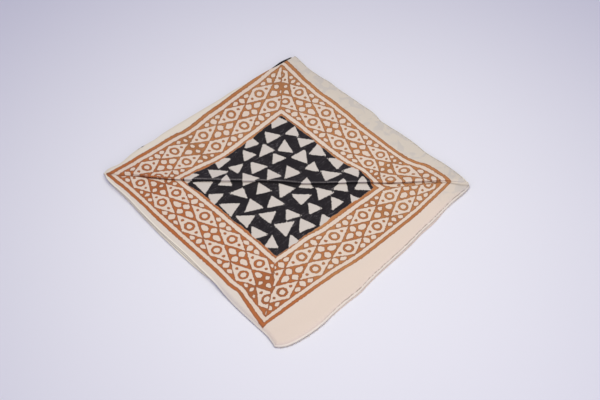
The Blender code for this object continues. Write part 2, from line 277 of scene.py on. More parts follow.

# Dark lines along the cut end and far edge, the pale rim at the sheet's edges, which is partly painted
# highlight, and black printed shapes on the fold below
END_LINE_INSET = 1.7
SIDE_LINE_INSET = 1.0
RIM_WIDTH = 1.4
SliverRow = namedtuple("SliverRow", "s t reach_s reach_t")
SLIVERS = rows_of(SliverRow, (
    (898.3, 134.0, 4.0, 17.0),
    (899.9, -91.0, 1.5, 2.6),
    (900.1, -96.5, 1.3, 2.0),
))

# Yarn ends frayed from the cut end of the top layer
FRAY_SEED = 5
FRAY_STEP = 0.55
FRAY_REACH = (0.6, 3.0)
FRAY_RADIUS = 0.13

# Triangles on the black ground
TRIANGLE_SEED = 11
TRIANGLE_CELLS = 7
TRIANGLE_CELL = 22.8
TRIANGLE_BASE = (16.5, 25.0)
TRIANGLE_HEIGHT = (15.5, 23.0)
TRIANGLE_GAP = 1.7
TRIANGLE_STRAY = 3.5
TRIANGLE_TRIES = 60

# Colours, as linear light
CREAM = (0.69, 0.615, 0.57)
CREAM_WARM = (0.73, 0.607, 0.54)
CREAM_GREY = (0.63, 0.56, 0.50)
CREAM_CLEAR = (0.735, 0.665, 0.59)
CREAM_COOL = (0.535, 0.492, 0.478)
CREAM_PRINTED = (0.705, 0.575, 0.495)
CREAM_FIELD = (0.60, 0.54, 0.515)
RUST = (0.39, 0.118, 0.026)
RUST_PALE = (0.46, 0.195, 0.068)
RUST_RICH = (0.41, 0.103, 0.018)
RUST_DEEP = (0.15, 0.058, 0.024)
BLACK = (0.009, 0.006, 0.009)
BLACK_WORN = (0.21, 0.185, 0.205)
# Painted highlight on the crease's lit top, laid over the black
CREST_PAINTED_HIGHLIGHT = (0.40, 0.36, 0.37)
# Painted shadow at the foot of the crease, under its lip
FOOT_SHADE = (0.42, 0.36, 0.34)
# Pale yarn; at the sheet's rim it is also painted highlight on the lit edges
RIM_PALE = (0.88, 0.81, 0.70)
# Thin dark line just inside the cut end and along the far edge
EDGE_LINE_DARK = (0.16, 0.11, 0.075)
FLOOR = (0.745, 0.735, 0.83)
FLOOR_MOTTLE = 1.02

# The cotton: threads in a metre, sheen, and how high its threads stand, in metres
THREADS_PER_METRE = 2600.0
SHEEN = 0.08
THREAD_HEIGHT = 0.06 * MM

# The light of the studio, with places in metres
LampRow = namedtuple("LampRow", "name place aim size power tint")
LAMPS = rows_of(LampRow, (
    ("high soft box", (0.05, 0.0, 0.58), (0.05, 0.0, 0.0), 0.7, 3.7, (0.8, 0.804, 0.59)),
    ("low soft box", (1.28, -0.42, 0.5), (0.1, 0.0, 0.0), 0.7, 4.7, (1.0, 0.98, 0.93)),
))
AIR_TINT = (0.71, 0.70, 1.0, 1.0)
AIR_STRENGTH = 0.5

# The camera: aim, seen from the printed square's middle, then angles, distance in metres and lens
AIM = (36.9, -2.1)
AZIMUTH = math.radians(47.2)
ELEVATION = math.radians(50.0)
DISTANCE = 1.1226
LENS = 60.0
SENSOR = 36.0


def read_row(rows, column, station):
    """A column's values at an array of stations, on a smooth line through the rows."""
    stations = np.array([row[0] for row in rows], float)
    values = np.array([getattr(row, column) for row in rows], float)
    place = np.clip(station, stations[0], stations[-1])
    i = np.clip(np.searchsorted(stations, place, side="right") - 1, 0, len(rows) - 2)
    low = np.clip(np.arange(len(rows)) - 1, 0, None)
    high = np.clip(np.arange(len(rows)) + 1, None, len(rows) - 1)
    slopes = (values[high] - values[low]) / (stations[high] - stations[low])
    gap = stations[i + 1] - stations[i]
    f = (place - stations[i]) / gap
    ease = f * f * (3 - 2 * f)
    leave = f * (1 - f) ** 2 * slopes[i]
    arrive = f * f * (1 - f) * slopes[i + 1]
    return values[i] + (values[i + 1] - values[i]) * ease + gap * (leave - arrive)


def swell_height(rows, x, y):
    height = np.zeros_like(x)
    for row in rows:
        away_x, away_y = (x - row.x) / row.reach_x, (y - row.y) / row.reach_y
        height += row.height * np.exp(-away_x ** 2 - away_y ** 2)
    return height


def press_height(x, y):
    """Height of the pressed troughs and ridges, fading out at both ends of each."""
    height = np.zeros_like(x)
    for row in PRESSES:
        run_x, run_y = row.x1 - row.x0, row.y1 - row.y0
        length = math.hypot(run_x, run_y)
        along = ((x - row.x0) * run_x + (y - row.y0) * run_y) / length
        across = ((x - row.x0) * run_y - (y - row.y0) * run_x) / length
        beyond = np.clip(-along, 0, None) + np.clip(along - length, 0, None)
        fade = np.exp(-(beyond / (2 * row.width)) ** 2)
        height += row.height * fade * np.exp(-(across / row.width) ** 2)
    return height


def ripple(x, y, size, seed):
    """Gentle unevenness of a soft cloth, from -1 to 1, over features of the given size."""
    place = zip((x / size).tolist(), (y / size).tolist())
    return np.array([noise.noise(Vector((a, b, seed))) for a, b in place])


FOLD_ENDS = ("upper_fold", "upper_fold", "lower_fold", "lower_fold")
CUT_ENDS = ("top_end", "middle_fold", "middle_fold", "bottom_end")
EDGES = ("top", "second", "third", "bottom")


def crease_shift(flat_x, flat_y):
    """Shift in x and y, and height, that the crease gives the top layer."""
    along = 0.5 + (flat_x + flat_y) / (PANEL + WIDTH)
    offset = (flat_y - flat_x) / math.sqrt(2)
    standing = read_row(CREASE, "height", along)
    bow = read_row(CREASE, "bow", along) * np.exp(-(offset / BOW_REACH) ** 2)
    bow += read_row(CORNER_BEND, "bend", along) * np.exp(-(offset / BEND_REACH) ** 2)
    lean = read_row(RIDGE, "lean", offset) * standing / max(row.height for row in CREASE)
    free = 1 - np.exp(-((flat_x + PANEL / 2) / FOLD_HOLD) ** 2)
    sideways = free * (bow + lean) / math.sqrt(2)
    return -sideways, sideways, standing * read_row(RIDGE, "height", offset)


def hang(drop, inside):
    """How far down a hanging edge has bent, at a distance in from it."""
    return drop * np.clip(1 - inside / HANG_REACH, 0, None) ** 2


def layer_points(layer, across, up):
    """Places on a layer, at shares of the way across it and up it."""
    flat_x = (across - 0.5) * PANEL
    flat_y = (up - 0.5) * WIDTH
    left = read_row(FOLD_SIDE, FOLD_ENDS[layer], flat_y)
    right = read_row(CUT_SIDE, CUT_ENDS[layer], flat_y)
    x = left + (right - left) * across
    near = read_row(NEAR_SIDE, EDGES[layer], x)
    far = read_row(FAR_SIDE, EDGES[layer], x)
    y = near + (far - near) * up
    rise = SWELL_SHARE[layer] * swell_height(STACK_SWELLS, x, y)
    if layer == 0:
        shift_x, shift_y, ridge = crease_shift(flat_x, flat_y)
        rise += swell_height(TOP_SWELLS, x, y) + press_height(x, y) + ridge
        end_drop = hang(read_row(CUT_SIDE, "drop", flat_y), right - x)
        near_drop = hang(read_row(NEAR_SIDE, "drop", x), y - near)
        rise -= np.maximum(end_drop, near_drop)
        rise += sum(row.height * ripple(x, y, row.size, row.seed) for row in RIPPLES)
        x = x + shift_x
        y = y + shift_y
    z = LOWEST + (LAYERS - 1 - layer) * PITCH + rise
    return np.stack([x, y, z], 1)


def fold_points(layer, turn, up):
    """Places on the fold between a layer and the one below it, turn running 0 to 1 round it."""
    end = layer % 2
    ends = np.full_like(up, float(end))
    upper = layer_points(layer, ends, up)
    lower = layer_points(layer + 1, ends, up)
    outward = 1 if end else -1
    radius = (upper[:, 2] - lower[:, 2]) / 2
    places = upper + (lower - upper) * turn[:, None]
    places[:, 0] += outward * radius * (np.sin(math.pi * turn) - 1)
    places[:, 2] = (upper[:, 2] + lower[:, 2]) / 2 + radius * np.cos(math.pi * turn)
    return places


def folded(s, t):
    """Where points of the flat cloth lie once it is folded: s along the length, t across it."""
    up = t / WIDTH + 0.5
    places = np.zeros((len(s), 3))
    done = np.zeros(len(s), bool)
    for fold in range(1, LAYERS):
        here = np.abs(s - fold * PANEL) <= HALF_FOLD + 1e-6
        turn = np.clip((s[here] - fold * PANEL) / (2 * HALF_FOLD) + 0.5, 0, 1)
        places[here] = fold_points(fold - 1, turn, up[here])
        done |= here
    layer_of = np.clip((s / PANEL).astype(int), 0, LAYERS - 1)
    for layer in range(LAYERS):
        here = ~done & (layer_of == layer)
        start = HALF_FOLD if layer > 0 else 0.0
        end = HALF_FOLD if layer < LAYERS - 1 else 0.0
        share = (s[here] - layer * PANEL - start) / (PANEL - start - end)
        backwards = layer % 2 == 0
        points = layer_points(layer, 1 - share if backwards else share, up[here])
        # The straight run stops short of the fold's outermost line
        if layer < LAYERS - 1:
            points[:, 0] += (PITCH / 2) * share ** STOP_SHORT_POWER * (1 if backwards else -1)
        if layer > 0:
            points[:, 0] += (PITCH / 2) * (1 - share) ** STOP_SHORT_POWER * (-1 if backwards else 1)
        places[here] = points
    return places


def print_places(x, y):
    """Places in the printer's measures for places on the cloth."""
    sides = (
        ("fold", PRINT_FOLD, y), ("cut", PRINT_CUT, y), ("near", PRINT_NEAR, x), ("far", PRINT_FAR, x))
    lines = {
        side: (read_row(rows, "outer", along), read_row(rows, "inner", along), getattr(OUTER_LINES, side))
        for side, rows, along in sides}
    band = OUTER_HALF - INNER_HALF

    def depth(share_in, closeness):
        """Depth into the border, where its outer lines were set closer than the rest."""
        outside = share_in * band / closeness
        inside = band - (1 - share_in) * band * (band - GAP_END) / (band - GAP_END * closeness)
        return np.minimum(outside, inside)

    def through(value, low_side, high_side):
        low_outer, low_inner, low_closeness = lines[low_side]
        high_outer, high_inner, high_closeness = lines[high_side]
        low = -OUTER_HALF + depth((value - low_outer) / (low_inner - low_outer), low_closeness)
        middle = -INNER_HALF + (value - low_inner) * 2 * INNER_HALF / (high_inner - low_inner)
        high = OUTER_HALF - depth((high_outer - value) / (high_outer - high_inner), high_closeness)
        return np.where(value < low_inner, low, np.where(value < high_inner, middle, high))

    return through(x, "fold", "cut"), through(y, "near", "far")


def repeats(column, place):
    """Number of the repeat, and the share of the next one, at places along a side."""
    middles = np.array([getattr(row, column) for row in REPEATS])
    numbers = np.array([row.number for row in REPEATS], float)
    inside = np.interp(place, middles, numbers)
    return inside + np.clip(place - middles[0], None, 0) / REPEAT_LENGTH


def triangle_corners(x, y, angle, base, height):
    cos, sin = math.cos(angle), math.sin(angle)
    local = ((-base / 2, -height / 3), (base / 2, -height / 3), (0.0, 2 * height / 3))
    return [(x + a * cos - b * sin, y + a * sin + b * cos) for a, b in local]


def edge_lines(corners):
    """Outward normal of each edge, and how far out it lies."""
    lines = []
    for (ax, ay), (bx, by) in zip(corners, corners[1:] + corners[:1]):
        length = math.hypot(bx - ax, by - ay)
        nx, ny = (by - ay) / length, -(bx - ax) / length
        lines.append((nx, ny, nx * ax + ny * ay))
    return lines


def clearance(a, b):
    """How far apart two triangles lie, below nought where they overlap."""
    best = -math.inf
    for one, other in ((a, b), (b, a)):
        for nx, ny, far in edge_lines(one):
            best = max(best, min(nx * px + ny * py for px, py in other) - far)
    return best


def scatter_triangles():
    """Triangles strewn over the black ground, each turned and sized to sit close to the last."""
    dice = random.Random(TRIANGLE_SEED)
    laid = []
    half = (TRIANGLE_CELLS - 1) / 2
    cells = [(i, j) for j in range(TRIANGLE_CELLS) for i in range(TRIANGLE_CELLS)]
    for i, j in cells:
        stagger = 0.5 * TRIANGLE_CELL * (j % 2) - 0.25 * TRIANGLE_CELL
        best = None
        for _ in range(TRIANGLE_TRIES):
            x = (i - half) * TRIANGLE_CELL + stagger + dice.uniform(-TRIANGLE_STRAY, TRIANGLE_STRAY)
            y = (j - half) * TRIANGLE_CELL + dice.uniform(-TRIANGLE_STRAY, TRIANGLE_STRAY)
            angle = dice.uniform(0, math.tau)
            corners = triangle_corners(
                x, y, angle, dice.uniform(*TRIANGLE_BASE), dice.uniform(*TRIANGLE_HEIGHT))
            near = [other for other in laid if math.dist(corners[0], other[0]) < 3 * TRIANGLE_CELL]
            gap = min([clearance(corners, other) for other in near], default=TRIANGLE_GAP)
            fit = -abs(gap - TRIANGLE_GAP)
            if best is None or fit > best[0]:
                best = (fit, corners)
        laid.append(best[1])
    return laid


def triangle_distance(x, y):
    """Distance outside the nearest triangle, below nought inside one, in millimetres."""
    nearest = np.full_like(x, 99.0)
    for corners in scatter_triangles():
        outside = np.full_like(x, -99.0)
        for nx, ny, far in edge_lines(corners):
            outside = np.maximum(outside, nx * x + ny * y - far)
        nearest = np.minimum(nearest, outside)
    return nearest


def cut_across(mesh, place, normal, snap, high=math.inf, band=None):
    """Divide the flat cloth along a line, up to a station of its length and near the place given."""
    faces = [f for f in mesh.faces if f.calc_center_median().x <= high]
    if band:
        direction = Vector(normal).normalized()
        faces = [f for f in faces if abs((f.calc_center_median() - Vector(place)).dot(direction)) < band]
    edges = {e for f in faces for e in f.edges}
    verts = {v for f in faces for v in f.verts}
    bmesh.ops.bisect_plane(
        mesh, geom=faces + list(edges) + list(verts), dist=snap, plane_co=place, plane_no=normal)


def flat_cloth():
    """The cut cloth laid flat in millimetres, divided finely on top and where it bends."""
    mesh = bmesh.new()
    bmesh.ops.create_grid(mesh, x_segments=TOP_STRIPS, y_segments=WIDTH_STRIPS, size=0.5)
    bmesh.ops.scale(mesh, vec=(PANEL, WIDTH, 1), verts=mesh.verts)
    bmesh.ops.translate(mesh, vec=(PANEL / 2, 0, 0), verts=mesh.verts)
    top = set(mesh.verts)
    lower_length = (LAYERS - 1) * PANEL
    lower_segments = (LAYERS - 1) * LOWER_STRIPS
    bmesh.ops.create_grid(mesh, x_segments=lower_segments, y_segments=WIDTH_STRIPS, size=0.5)
    lower = [v for v in mesh.verts if v not in top]
    bmesh.ops.scale(mesh, vec=(lower_length, WIDTH, 1), verts=lower)
    bmesh.ops.translate(mesh, vec=(PANEL + lower_length / 2, 0, 0), verts=lower)
    bmesh.ops.remove_doubles(mesh, verts=mesh.verts, dist=0.01)
    for fold in range(1, LAYERS):
        for k in range(FOLD_STRIPS + 1):
            station = fold * PANEL - HALF_FOLD + 2 * HALF_FOLD * k / FOLD_STRIPS
            cut_across(mesh, (station, 0, 0), (1, 0, 0), CUT_SNAP, band=PANEL / LOWER_STRIPS)
    for inside in EDGE_CUTS:
        cut_across(mesh, (inside, 0, 0), (1, 0, 0), CUT_SNAP, high=PANEL / LOWER_STRIPS)
        cut_across(mesh, (0, inside - WIDTH / 2, 0), (0, 1, 0), CUT_SNAP, band=PANEL / LOWER_STRIPS)
    for offset in RIDGE_CUTS:
        place = (PANEL / 2 + offset * math.sqrt(2), 0, 0)
        cut_across(mesh, place, (1, 1, 0), RIDGE_SNAP, high=PANEL - HALF_FOLD, band=RIDGE_BAND)
    return mesh


def store_values(data, lengths):
    """Store named values on the sheet's points."""
    for name, values in lengths.items():
        store = data.attributes.new(name, "FLOAT", "POINT")
        store.data.foreach_set("value", values.astype(np.float32))


def store_map(data, name, places):
    """Store flat places on the sheet's corners, in metres."""
    corner_points = np.empty(len(data.loops), np.int32)
    data.loops.foreach_get("vertex_index", corner_points)
    laid = places[corner_points] * MM
    data.uv_layers.new(name=name).data.foreach_set("uv", laid.astype(np.float32).ravel())


def add_crease_marks(data, flat):
    """Store where the crease's top gets a painted highlight and where its foot gets a painted shadow."""
    s, t = flat[:, 0], flat[:, 1]
    offset = (t - (PANEL / 2 - s)) / math.sqrt(2)
    along = 0.5 + (PANEL / 2 - s + t) / (PANEL + WIDTH)
    on_top = np.where(s < PANEL, np.clip(6 * np.minimum(along, 1 - along) + 0.4, 0, 1), 0.0)
    store_values(data, {
        "crest_painted_highlight": on_top * np.exp(-((offset - CREST_AT) / CREST_REACH) ** 2),
        "crease_foot_painted_shadow": on_top * np.exp(-((offset - FOOT_AT) / FOOT_REACH) ** 2),
    })


def add_print_lengths(data, places):
    """Store what the printing goes by on the sheet's points and corners."""
    x, y = places[:, 0], places[:, 1]
    print_x, print_y = print_places(x, y)
    overprint = np.clip(sum(
        row.strength * np.exp(-((x - row.x) / row.reach_x) ** 4 - ((y - row.y) / row.reach_y) ** 4)
        for row in OVERPRINTS), 0, 1)
    # The inner diamonds fall behind only on the far part of the fold side
    slant = REPEAT_SLANT * np.clip(y / 60, 0, 1) * np.clip((x + 105) / 32, -1, 1)
    store_values(data, {
        "fold_repeats": repeats("fold", y + slant),
        "cut_repeats": repeats("cut", y),
        "near_repeats": repeats("near", x),
        "far_repeats": repeats("far", x),
        "triangle_distance": triangle_distance(print_x, print_y),
        "overprint": overprint,
    })
    store_map(data, "printing", np.stack([print_x, print_y], 1))


def put_in_scene(name, data):
    made = bpy.data.objects.new(name, data)
    bpy.context.scene.collection.objects.link(made)
    return made


def make_cloth(material):
    mesh = flat_cloth()
    mesh.verts.ensure_lookup_table()
    flat = np.array([(v.co.x, v.co.y) for v in mesh.verts])
    places = folded(flat[:, 0], flat[:, 1])
    data = bpy.data.meshes.new("printed_cloth")
    mesh.to_mesh(data)
    mesh.free()
    set_down = (places - np.array([*STACK_MIDDLE, 0.0])) * MM
    data.vertices.foreach_set("co", set_down.astype(np.float32).ravel())
    add_print_lengths(data, places)
    store_map(data, "weave", flat)
    add_crease_marks(data, flat)
    data.flip_normals()
    data.shade_smooth()
    data.materials.append(material)
    data.update()
    cloth = put_in_scene("printed_cloth", data)
    wall = cloth.modifiers.new("sheet", "SOLIDIFY")
    wall.thickness = SHEET * MM
    wall.offset = 0.0
    wall.use_even_offset = True
    return cloth


def fray_ends(material):
    """Short ends of weft yarn standing out along the cut end of the top layer."""
    dice = random.Random(FRAY_SEED)
    count = int(WIDTH / FRAY_STEP)
    ups = np.array([(k + dice.uniform(0.1, 0.9)) / count for k in range(count)])
    edge = layer_points(0, np.ones(count), ups)
    inner = layer_points(0, np.full(count, 1 - 1 / PANEL), ups)
    data = bpy.data.curves.new("frayed_yarn_ends", "CURVE")
    data.dimensions = "3D"
    data.bevel_depth = FRAY_RADIUS * MM
    data.bevel_resolution = 1
    data.use_fill_caps = True
    for tip, root in zip(edge, inner):
        out = Vector(tip - root).normalized()
        reach = dice.uniform(*FRAY_REACH)
        astray = Vector((dice.uniform(-0.3, 0.3), dice.uniform(-0.9, 0.9), 0))
        start = Vector(tip) - 0.3 * out
        middle = Vector(tip) + 0.5 * reach * (out + 0.4 * astray)
        end = Vector(tip) + reach * (out + astray) + Vector((0, 0, -dice.uniform(0.1, 0.8)))
        strand = data.splines.new("POLY")
        strand.points.add(2)
        for point, place, share in zip(strand.points, (start, middle, end), (1.0, 0.9, 0.5)):
            low = max(place.z, 2 * FRAY_RADIUS)
            down = Vector((place.x - STACK_MIDDLE[0], place.y - STACK_MIDDLE[1], low)) * MM
            point.co = (*down, 1.0)
            point.radius = share
    data.materials.append(material)
    return put_in_scene("frayed_yarn_ends", data)


class NodeBench:
    """Lays shader nodes in a tree: a value given to a method is a number or another node's output."""

    def __init__(self, tree):
        self.tree = tree

    def node(self, kind, **settings):
        made = self.tree.nodes.new(kind)
        for name, value in settings.items():
            setattr(made, name, value)
        return made

    def feed(self, socket, value):
        if isinstance(value, bpy.types.NodeSocket):
            self.tree.links.new(value, socket)
        else:
            socket.default_value = value

    def math(self, operation, *values):
        made = self.node("ShaderNodeMath", operation=operation)
        for socket, value in zip(made.inputs, values):
            self.feed(socket, value)
        return made.outputs[0]

    def add(self, a, b):
        return self.math("ADD", a, b)

    def sub(self, a, b):
        return self.math("SUBTRACT", a, b)

    def mul(self, a, b):
        return self.math("MULTIPLY", a, b)

    def size(self, a):
        return self.math("ABSOLUTE", a)

    def least(self, first, *others):
        for other in others:
            first = self.math("MINIMUM", first, other)
        return first

    def most(self, first, *others):
        for other in others:
            first = self.math("MAXIMUM", first, other)
        return first

    def above(self, a, b):
        return self.math("GREATER_THAN", a, b)

    def choose(self, share, a, b):
        """a where share is 0, b where it is 1."""
        return self.add(a, self.mul(share, self.sub(b, a)))

    def round_distance(self, a, b, radius_a, radius_b):
        """Distance outside an oval with its middle at a = b = 0."""
        far = self.math("SQRT", self.add(
            self.math("POWER", self.math("DIVIDE", a, radius_a), 2.0),
            self.math("POWER", self.math("DIVIDE", b, radius_b), 2.0)))
        return self.mul(self.sub(far, 1.0), min(radius_a, radius_b))

    def petal_distance(self, a, b, back, front, low, high):
        """Distance outside a rounded diamond that may reach further to one side than to the other."""
        share_a = self.most(self.math("DIVIDE", a, front), self.math("DIVIDE", a, -back))
        share_b = self.most(self.math("DIVIDE", b, high), self.math("DIVIDE", b, -low))
        powers = self.add(
            self.math("POWER", share_a, PETAL_POWER), self.math("POWER", share_b, PETAL_POWER))
        reach = self.math("POWER", powers, 1 / PETAL_POWER)
        return self.mul(self.sub(reach, 1.0), min(back, low))

    def inside(self, distance, softness):
        """1 where a distance is below nought, with a soft edge."""
        made = self.node("ShaderNodeMapRange", interpolation_type="SMOOTHSTEP")
        self.feed(made.inputs["Value"], distance)
        self.feed(made.inputs["From Min"], softness)
        self.feed(made.inputs["From Max"], -softness)
        return made.outputs["Result"]

    def spread(self, value, low, high, new_low=0.0, new_high=1.0):
        made = self.node("ShaderNodeMapRange")
        names = ("Value", "From Min", "From Max", "To Min", "To Max")
        for name, setting in zip(names, (value, low, high, new_low, new_high)):
            self.feed(made.inputs[name], setting)
        return made.outputs["Result"]

    def speckle(self, vector, scale, detail=2.0, roughness=0.5, distortion=0.0, output="Fac"):
        made = self.node("ShaderNodeTexNoise")
        names = ("Vector", "Scale", "Detail", "Roughness", "Distortion")
        for name, setting in zip(names, (vector, scale, detail, roughness, distortion)):
            self.feed(made.inputs[name], setting)
        return made.outputs[output]

    def mix(self, share, a, b, blend="MIX"):
        made = self.node("ShaderNodeMix", data_type="RGBA", blend_type=blend)
        self.feed(made.inputs["Factor"], share)
        self.feed(made.inputs["A"], (*a, 1.0) if isinstance(a, tuple) else a)
        self.feed(made.inputs["B"], (*b, 1.0) if isinstance(b, tuple) else b)
        return next(out for out in made.outputs if out.type == "RGBA")

    def coated(self, base, *coats):
        """A colour with further ones laid over it, each by its share."""
        for share, colour in coats:
            base = self.mix(share, base, colour)
        return base

    def attribute(self, name):
        return self.node("ShaderNodeAttribute", attribute_name=name).outputs["Fac"]

    def uv(self, name):
        return self.node("ShaderNodeUVMap", uv_map=name).outputs["UV"]

    def stretch(self, vector, scale):
        made = self.node("ShaderNodeMapping")
        self.feed(made.inputs["Vector"], vector)
        made.inputs["Scale"].default_value = scale
        return made.outputs["Vector"]

    def split(self, vector):
        made = self.node("ShaderNodeSeparateXYZ")
        self.feed(made.inputs[0], vector)
        return made.outputs

    def group(self, tree, **values):
        made = self.node("ShaderNodeGroup", node_tree=tree)
        for name, value in values.items():
            self.feed(made.inputs[name.replace("_", " ")], value)
        return made.outputs


def new_group(name, inputs, outputs):
    """A node group with named float or vector sockets, and a bench to lay its nodes on."""
    tree = bpy.data.node_groups.new(name, "ShaderNodeTree")
    for label, kind in inputs:
        tree.interface.new_socket(label, in_out="INPUT", socket_type=kind)
    for label, kind in outputs:
        tree.interface.new_socket(label, in_out="OUTPUT", socket_type=kind)
    bench = NodeBench(tree)
    return tree, bench, bench.node("NodeGroupInput").outputs, bench.node("NodeGroupOutput").inputs


FLOAT, VECTOR = "NodeSocketFloat", "NodeSocketVector"


def weave_group():
    """Plain weave: threads over and under each other, with slubs and a slight waver."""
    tree, bench, given, result = new_group(
        "plain weave",
        [("Length", VECTOR), ("Threads", FLOAT)],
        [("Height", FLOAT), ("Shade", FLOAT)])
    turns = bench.mul(given["Threads"], math.pi)
    x, y, _ = bench.split(given["Length"])
    waver = bench.speckle(given["Length"], 90.0)
    shift = bench.mul(bench.sub(waver, 0.5), 0.0012)
    along = bench.mul(bench.add(x, shift), turns)
    across = bench.mul(bench.sub(y, shift), turns)
    warp = bench.math("SINE", along)
    weft = bench.math("SINE", across)
    over = bench.mul(warp, weft)
    ribs = bench.least(bench.size(warp), bench.size(weft))
    slubs = bench.add(*(
        bench.speckle(bench.stretch(given["Length"], drawn_out), 1.0, detail=1.0)
        for drawn_out in ((1800.0, 40.0, 1.0), (40.0, 1800.0, 1.0))))
    height = bench.add(bench.mul(over, 0.3), bench.add(bench.mul(ribs, 0.35), bench.mul(slubs, 0.25)))
    bench.feed(result["Height"], height)
    bench.feed(result["Shade"], bench.spread(height, 0.0, 0.9))
    return tree


def lattice_group():
    """Two rows of cream diamonds, each with a ring and two dots, and clusters of cream petals between."""
    tree, bench, given, result = new_group(
        "printed lattice",
        [("Repeat", FLOAT), ("Row", FLOAT), ("Swelling", FLOAT)],
        [("Bare", FLOAT)])
    half_length, half_width = REPEAT_LENGTH / 2, ROW_WIDTH / 2
    repeat, row = given["Repeat"], given["Row"]
    along = bench.mul(bench.sub(bench.math("FRACT", bench.add(repeat, 10.5)), 0.5), REPEAT_LENGTH)
    across = bench.mul(bench.sub(bench.math("FRACT", row), 0.5), ROW_WIDTH)
    steep = 1 / math.hypot(1 / half_length, 1 / half_width)
    slant = bench.add(
        bench.math("DIVIDE", bench.size(along), half_length),
        bench.math("DIVIDE", bench.size(across), half_width))
    diamond = bench.mul(bench.sub(slant, 1.0), steep)
    from_middle = bench.math("SQRT", bench.add(bench.mul(along, along), bench.mul(across, across)))
    ring = bench.sub(bench.size(bench.sub(from_middle, RING_RADIUS)), RING_HALF_WIDTH)
    dot = bench.round_distance(bench.sub(bench.size(along), DOT_PLACE), across, DOT_RADIUS, DOT_RADIUS)
    bare_diamond = bench.most(
        bench.add(diamond, DIAMOND_LINE), bench.mul(ring, -1.0), bench.mul(dot, -1.0))

    between = bench.mul(bench.sub(bench.math("FRACT", bench.add(repeat, 10.0)), 0.5), REPEAT_LENGTH)
    from_line = bench.mul(bench.size(bench.sub(row, 1.0)), ROW_WIDTH)
    from_edge = bench.sub(ROW_WIDTH, from_line)
    sideways = bench.size(between)
    petals = bench.least(
        bench.petal_distance(bench.sub(sideways, 8.7), from_line, 4.2, 6.6, 3.7, 3.7),
        bench.petal_distance(between, bench.sub(from_line, 4.7), 3.9, 3.9, 3.6, 4.4),
        bench.petal_distance(between, bench.sub(from_edge, 5.2), 3.6, 3.6, 4.4, 4.4),
        bench.petal_distance(bench.sub(sideways, 8.5), bench.sub(from_edge, 3.0), 3.3, 3.9, 2.5, 2.6))
    bare = bench.least(bare_diamond, bench.add(petals, given["Swelling"]))
    bench.feed(result["Bare"], bare)
    return tree


def border_group(lattice):
    """The whole border: stripes, thin lines and lattice, mitred at the corners."""
    tree, bench, given, result = new_group(
        "printed border",
        [("Place", VECTOR), ("Fold Repeat", FLOAT), ("Cut Repeat", FLOAT), ("Near Repeat", FLOAT),
         ("Far Repeat", FLOAT), ("Overprint", FLOAT)],
        [("Rust", FLOAT), ("Rim", FLOAT), ("Depth", FLOAT)])
    place = given["Place"]
    broad = bench.split(bench.speckle(place, 0.045, detail=1.0, output="Color"))
    fine = bench.split(bench.speckle(place, 0.33, output="Color"))
    x, y, _ = bench.split(place)

    def wobble(value, which):
        slow = bench.mul(bench.sub(broad[which], 0.5), SLOW_WAVER)
        quick = bench.mul(bench.sub(fine[which], 0.5), QUICK_WAVER)
        return bench.add(value, bench.add(slow, quick))

    print_x, print_y = wobble(x, 0), wobble(y, 1)
    depth_side = bench.sub(OUTER_HALF, bench.size(print_x))
    depth_level = bench.sub(OUTER_HALF, bench.size(print_y))
    lap = bench.mul(bench.sub(broad[2], 0.5), CORNER_LAP)
    upright = bench.above(depth_level, bench.add(depth_side, lap))
    depth = bench.choose(upright, depth_level, depth_side)
    right, top = bench.above(print_x, 0.0), bench.above(print_y, 0.0)
    level_repeat = bench.choose(top, given["Near Repeat"], given["Far Repeat"])
    upright_repeat = bench.choose(right, given["Fold Repeat"], given["Cut Repeat"])
    repeat = bench.choose(upright, level_repeat, upright_repeat)
    repeat = bench.add(repeat, bench.mul(bench.sub(fine[2], 0.5), SLOW_WAVER / REPEAT_LENGTH))
    row = bench.math("DIVIDE", bench.sub(depth, LATTICE_START), ROW_WIDTH)
    swelling = bench.add(
        bench.mul(given["Overprint"], 1.3),
        bench.mul(bench.sub(bench.speckle(place, 0.11, detail=1.0), 0.5), 1.8))
    bare_lattice = bench.group(lattice, Repeat=repeat, Row=row, Swelling=swelling)["Bare"]
    in_lattice = bench.most(bench.sub(LATTICE_START, depth), bench.sub(depth, LATTICE_END))
    bare_lattice = bench.most(bare_lattice, in_lattice)

    def stripe(low, high):
        return bench.sub(bench.size(bench.sub(depth, (low + high) / 2)), (high - low) / 2)

    mitre = bench.sub(CORNER_LINE, bench.size(bench.sub(depth_level, bench.add(depth_side, lap))))
    bare_lattice = bench.most(bare_lattice, mitre)
    on_fold_side = bench.mul(bench.sub(1.0, right), upright)
    thinned = bench.mul(on_fold_side, bench.spread(y, 100.0, 122.0, 0.0, 2.0))
    bare = bench.least(
        bare_lattice, stripe(STRIPE_END, GAP_END), stripe(INNER_GAP_START, INNER_GAP_END),
        bench.sub(depth, thinned))
    ragged = bench.speckle(place, 0.4, detail=4.0, roughness=0.65)
    bare = bench.add(bare, bench.mul(bench.sub(ragged, 0.5), RAGGED_INK))
    bench.feed(result["Rust"], bench.sub(1.0, bench.inside(bare, 0.3)))
    bench.feed(result["Rim"], bench.inside(bench.sub(bench.size(bench.sub(bare, 0.5)), 0.25), 0.35))
    bench.feed(result["Depth"], depth)
    return tree


